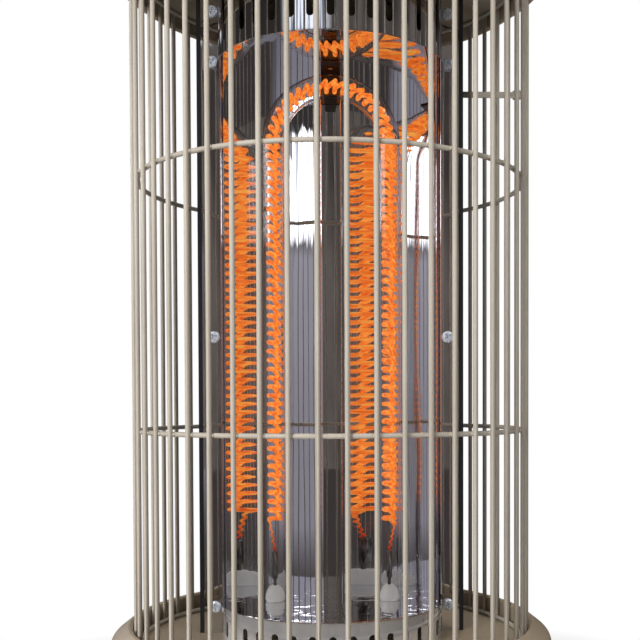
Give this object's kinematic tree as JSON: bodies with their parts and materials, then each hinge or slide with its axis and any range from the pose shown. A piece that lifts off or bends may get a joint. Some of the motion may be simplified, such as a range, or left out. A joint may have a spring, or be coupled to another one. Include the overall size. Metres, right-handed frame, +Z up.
{
  "type": "quartz heater",
  "caption": "Free-standing quartz heater: pan base and cap joined by an upright round wire guard, a polished reflector drum, a U-shaped glowing tube and a heat knob.",
  "frame": {"origin": "on the floor, under the middle of the object's box", "axes": "+Z up, along the guard's axis; the tube and knob face -Y; +X is to the right of someone behind it and of the picture"},
  "size_m": [0.338, 0.3414, 0.622],
  "materials": {
    "greige_enamel": "fine-textured semi-gloss enamel",
    "black_enamel": "satin black enamel",
    "polished_sheet": "mirror-polished sheet",
    "quartz": "clear fused quartz",
    "glowing_wire": "resistance wire at orange heat",
    "ceramic": "unglazed white",
    "plain_steel": "bright zinc plate",
    "dull_steel": "heat-dulled sheet",
    "spring_steel": "drawn wire",
    "dark_plastic": "moulded, fine grain",
    "switch_plastic": "moulded",
    "pale_plastic": "moulded",
    "rubber": "matt"
  },
  "bodies": {
    "heater": {"base_posts": "plain_steel", "base_shell": "greige_enamel", "bottom_plate": "black_enamel", "bracket_screw": "plain_steel", "cap_pan": "greige_enamel", "cap_screws": "plain_steel", "ceiling_plate": "polished_sheet", "ceramic_beads": "ceramic", "control_dish": "dark_plastic", "crown_bracket": "dull_steel", "drum_screws": "plain_steel", "element_terminals": "dull_steel", "flange_screws": "plain_steel", "floor_plate": "polished_sheet", "foot_screws": "plain_steel", "guard_bottom_ring": "greige_enamel", "guard_lower_ring": "greige_enamel", "guard_stay": "greige_enamel", "guard_top_ring": "greige_enamel", "guard_upper_ring": "greige_enamel", "guard_wires": "greige_enamel", "heating_coil": "glowing_wire", "inlet_grommet": "rubber", "lower_vent_band": "polished_sheet", "quartz_tube": "quartz", "rear_cover": "black_enamel", "reflector": "polished_sheet", "rotary_switch": "switch_plastic", "rubber_feet": "rubber", "switch_nut": "plain_steel", "terminal_block": "pale_plastic", "thermal_cutout": "switch_plastic", "tip_spring": "spring_steel", "tip_switch_body": "switch_plastic", "top_cap": "greige_enamel", "upper_vent_band": "polished_sheet"},
    "heat_knob": {"control_knob": "dark_plastic", "switch_shaft": "plain_steel"},
    "tip_foot": {"tip_plunger": "pale_plastic"}
  },
  "joints": [
    {"name": "heat_knob_turn", "type": "hinge", "parent": "heater", "child": "heat_knob", "pos_m": [0, -0.153, 0.044], "axis": [0, 1, 0], "range_deg": [0, 240]},
    {"name": "tip_foot_slide", "type": "slide", "parent": "heater", "child": "tip_foot", "axis": [0, 0, -1], "range_m": [0, 0.006], "stiffness_N_per_m": 60, "springref_m": 0.012, "deforming": ["tip_spring"]}
  ]
}
